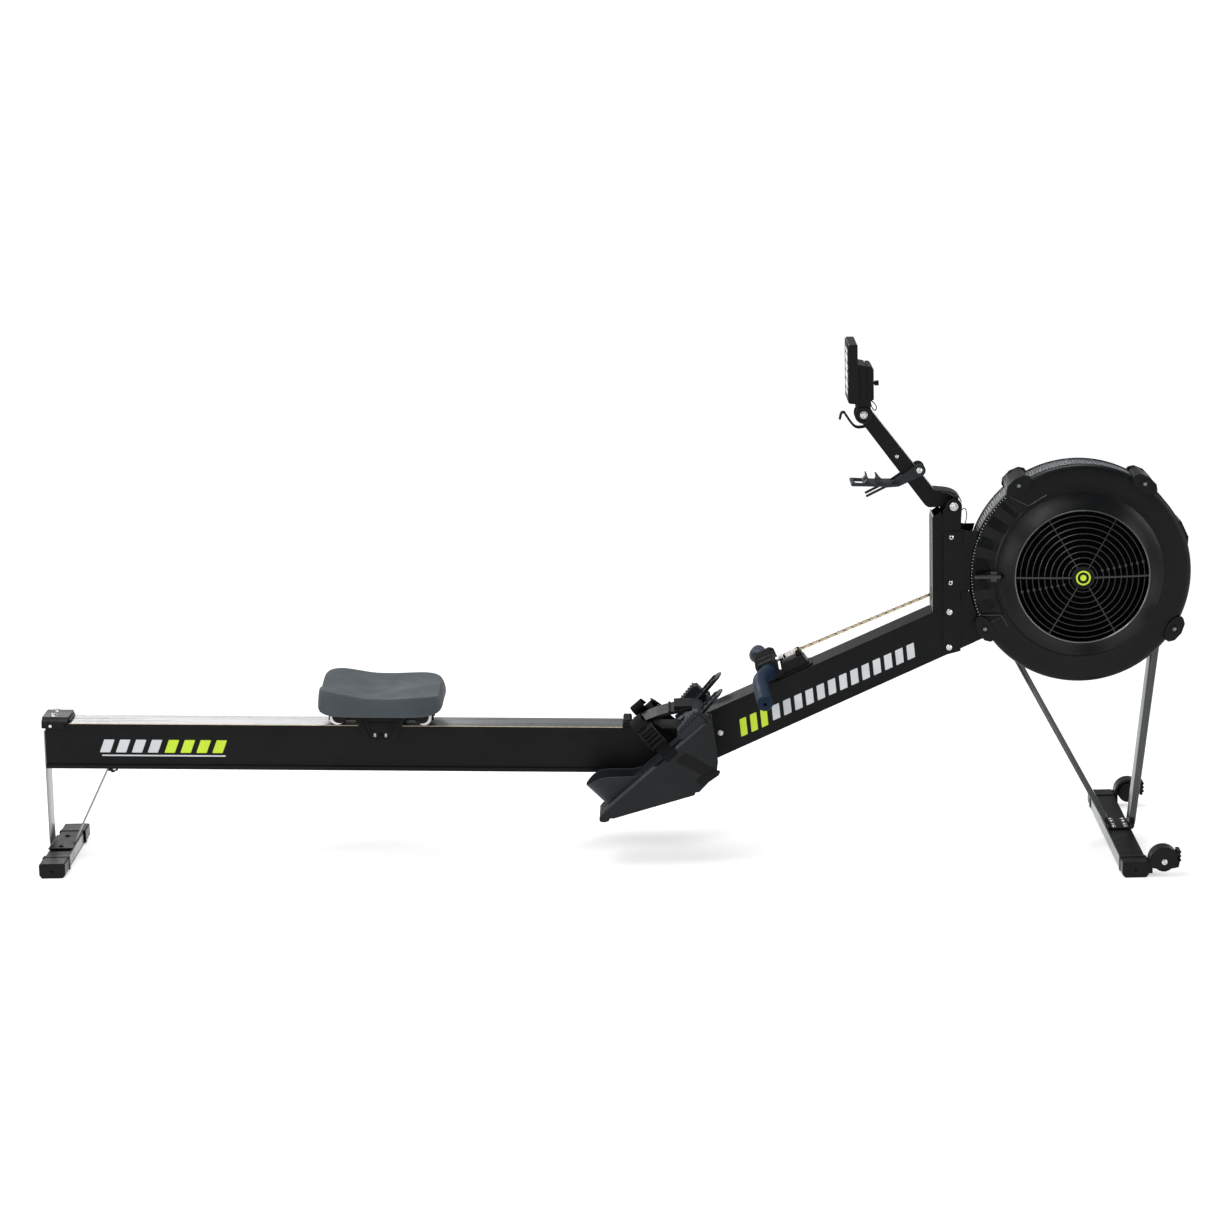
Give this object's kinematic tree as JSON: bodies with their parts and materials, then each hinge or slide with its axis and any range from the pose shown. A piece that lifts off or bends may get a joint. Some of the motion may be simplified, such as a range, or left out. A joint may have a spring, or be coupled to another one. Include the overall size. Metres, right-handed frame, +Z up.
{
  "type": "rowing machine",
  "caption": "Indoor rowing machine: long rail with sliding seat, sloped front tube, caged fan flywheel, pull handle on a chain, footboards and a monitor arm.",
  "frame": {"origin": "on the floor, under the middle of the machine's length and width", "axes": "+X along the rail toward the fan, +Y across the machine, +Z up"},
  "size_m": [2.437, 0.604, 1.086],
  "materials": {
    "frame_paint": "satin black powder coat",
    "rail_aluminium": "satin black coated extrusion",
    "track_steel": "brushed along the rail",
    "leg_steel": "satin grey",
    "flywheel_metal": "machined",
    "black_plastic": "fine texture",
    "slate_plastic": "fine texture",
    "seat_foam": "moulded foam with a fine skin",
    "white_nylon": "smooth",
    "grip_rubber": "soft navy",
    "black_rubber": "matt",
    "chain_nickel": "nickel plated, slightly golden",
    "strap_webbing": "woven webbing"
  },
  "bodies": {
    "frame": {"monorail": "rail_aluminium", "rail_track": "track_steel", "rear_end_cap": "black_plastic", "front_stop": "black_plastic", "front_tube": "frame_paint", "handle_rest": "black_plastic", "mast_channel": "frame_paint", "mast_plate_near": "frame_paint", "mast_plate_far": "frame_paint", "fan_shell_near": "black_plastic", "fan_shell_far": "black_plastic", "fan_band": "leg_steel", "fan_clip_1": "black_plastic", "fan_clip_2": "black_plastic", "fan_clip_3": "black_plastic", "fan_clip_4": "black_plastic", "return_chain": "chain_nickel", "front_leg_inner": "leg_steel", "front_leg_outer": "leg_steel", "front_foot": "frame_paint", "front_foot_cap_near": "black_plastic", "front_foot_cap_far": "black_plastic", "rear_leg": "leg_steel", "rear_brace": "leg_steel", "rear_foot": "frame_paint", "rear_foot_cap_near": "black_plastic", "rear_foot_cap_far": "black_plastic", "footboard_near": "slate_plastic", "footboard_far": "slate_plastic", "foot_strap_near": "strap_webbing", "foot_strap_far": "strap_webbing", "foot_cover": "black_plastic"},
    "seat": {"seat_cushion": "seat_foam", "seat_carriage": "frame_paint"},
    "top_rollers_rear": {"seat_rollers_rear": "white_nylon"},
    "top_rollers_front": {"seat_rollers_front": "white_nylon"},
    "low_roller_rear_near": {"lower_roller_rear_near": "white_nylon"},
    "low_roller_rear_far": {"lower_roller_rear_far": "white_nylon"},
    "low_roller_front_near": {"lower_roller_front_near": "white_nylon"},
    "low_roller_front_far": {"lower_roller_front_far": "white_nylon"},
    "handle": {"handle_core": "black_rubber", "handle_grip_near": "grip_rubber", "handle_grip_far": "grip_rubber", "chain_swivel": "chain_nickel", "drive_chain": "chain_nickel"},
    "chain_sprocket": {"sprocket": "track_steel"},
    "chain_pulley": {"guide_pulley": "track_steel"},
    "fan_wheel": {"flywheel": "flywheel_metal"},
    "damper": {"damper_lever": "black_plastic"},
    "arm": {"monitor_arm": "rail_aluminium"},
    "monitor": {"monitor_case": "black_plastic"},
    "button_1": {"monitor_button_1": "black_rubber"},
    "button_2": {"monitor_button_2": "black_rubber"},
    "button_3": {"monitor_button_3": "black_rubber"},
    "button_4": {"monitor_button_4": "black_rubber"},
    "holder": {"device_holder": "slate_plastic"},
    "heel_near": {"heel_cup_near": "slate_plastic"},
    "heel_far": {"heel_cup_far": "slate_plastic"},
    "caster_near": {"caster_wheel_near": "black_rubber"},
    "caster_far": {"caster_wheel_far": "black_rubber"}
  },
  "joints": [
    {"name": "seat_slide", "type": "slide", "parent": "frame", "child": "seat", "axis": [0.9997, 0, -0.0257], "range_m": [-0.54, 0.4]},
    {"name": "top_rollers_rear_spin", "type": "hinge", "parent": "seat", "child": "top_rollers_rear", "pos_m": [-0.58734, 0, 0.3082], "axis": [0, 1, 0], "continuous": true},
    {"name": "top_rollers_front_spin", "type": "hinge", "parent": "seat", "child": "top_rollers_front", "pos_m": [-0.4034, 0, 0.30348], "axis": [0, 1, 0], "continuous": true},
    {"name": "low_roller_rear_near_spin", "type": "hinge", "parent": "seat", "child": "low_roller_rear_near", "pos_m": [-0.50878, -0.0436, 0.27057], "axis": [0, 1, 0], "continuous": true},
    {"name": "low_roller_rear_far_spin", "type": "hinge", "parent": "seat", "child": "low_roller_rear_far", "pos_m": [-0.50878, 0.0436, 0.27057], "axis": [0, 1, 0], "continuous": true},
    {"name": "low_roller_front_near_spin", "type": "hinge", "parent": "seat", "child": "low_roller_front_near", "pos_m": [-0.48379, -0.0436, 0.26993], "axis": [0, 1, 0], "continuous": true},
    {"name": "low_roller_front_far_spin", "type": "hinge", "parent": "seat", "child": "low_roller_front_far", "pos_m": [-0.48379, 0.0436, 0.26993], "axis": [0, 1, 0], "continuous": true},
    {"name": "handle_pull", "type": "slide", "parent": "frame", "child": "handle", "axis": [-0.9704, 0, 0.2414], "range_m": [0, 1.2], "stiffness_N_per_m": 25, "springref_m": -0.6, "deforming": ["drive_chain"]},
    {"name": "sprocket_spin", "type": "hinge", "parent": "frame", "child": "chain_sprocket", "pos_m": [0.9865, 0, 0.591], "axis": [0, 1, 0], "continuous": true},
    {"name": "guide_pulley_spin", "type": "hinge", "parent": "frame", "child": "chain_pulley", "pos_m": [0.706, 0, 0.5424], "axis": [0, 1, 0], "continuous": true},
    {"name": "flywheel_spin", "type": "hinge", "parent": "frame", "child": "fan_wheel", "pos_m": [0.9865, 0, 0.591], "axis": [0, 1, 0], "continuous": true},
    {"name": "damper_turn", "type": "hinge", "parent": "frame", "child": "damper", "pos_m": [0.9865, -0.067, 0.591], "axis": [0, 1, 0], "range_deg": [-28, 28]},
    {"name": "arm_swing", "type": "hinge", "parent": "frame", "child": "arm", "pos_m": [0.722, 0, 0.738], "axis": [0, 1, 0], "range_deg": [0, 45]},
    {"name": "monitor_tilt", "type": "hinge", "parent": "arm", "child": "monitor", "pos_m": [0.536, 0, 0.932], "axis": [0, 1, 0], "range_deg": [-15, 20]},
    {"name": "button_1_press", "type": "slide", "parent": "monitor", "child": "button_1", "axis": [1, 0, 0], "range_m": [0, 0.001], "stiffness_N_per_m": 400, "springref_m": -0.001},
    {"name": "button_2_press", "type": "slide", "parent": "monitor", "child": "button_2", "axis": [1, 0, 0], "range_m": [0, 0.001], "stiffness_N_per_m": 400, "springref_m": -0.001},
    {"name": "button_3_press", "type": "slide", "parent": "monitor", "child": "button_3", "axis": [1, 0, 0], "range_m": [0, 0.001], "stiffness_N_per_m": 400, "springref_m": -0.001},
    {"name": "button_4_press", "type": "slide", "parent": "monitor", "child": "button_4", "axis": [1, 0, 0], "range_m": [0, 0.001], "stiffness_N_per_m": 400, "springref_m": -0.001},
    {"name": "holder_fold", "type": "hinge", "parent": "arm", "child": "holder", "pos_m": [0.6515, 0, 0.813], "axis": [0, 1, 0], "range_deg": [-20, 35]},
    {"name": "heel_near_slide", "type": "slide", "parent": "frame", "child": "heel_near", "axis": [0.7581, 0, 0.6521], "range_m": [-0.02, 0.03]},
    {"name": "heel_far_slide", "type": "slide", "parent": "frame", "child": "heel_far", "axis": [0.7581, 0, 0.6521], "range_m": [-0.02, 0.03]},
    {"name": "caster_near_spin", "type": "hinge", "parent": "frame", "child": "caster_near", "pos_m": [1.132, -0.284, 0.032], "axis": [0, 1, 0], "continuous": true},
    {"name": "caster_far_spin", "type": "hinge", "parent": "frame", "child": "caster_far", "pos_m": [1.132, 0.284, 0.032], "axis": [0, 1, 0], "continuous": true}
  ],
  "couplings": [
    {"joint": "top_rollers_rear_spin", "follows": "seat_slide", "rad_per_m": 62.5},
    {"joint": "top_rollers_front_spin", "follows": "seat_slide", "rad_per_m": 62.5},
    {"joint": "low_roller_rear_near_spin", "follows": "seat_slide", "rad_per_m": -108.7},
    {"joint": "low_roller_rear_far_spin", "follows": "seat_slide", "rad_per_m": -108.7},
    {"joint": "low_roller_front_near_spin", "follows": "seat_slide", "rad_per_m": -108.7},
    {"joint": "low_roller_front_far_spin", "follows": "seat_slide", "rad_per_m": -108.7},
    {"joint": "sprocket_spin", "follows": "handle_pull", "rad_per_m": -69.93},
    {"joint": "guide_pulley_spin", "follows": "handle_pull", "rad_per_m": -81.3}
  ]
}
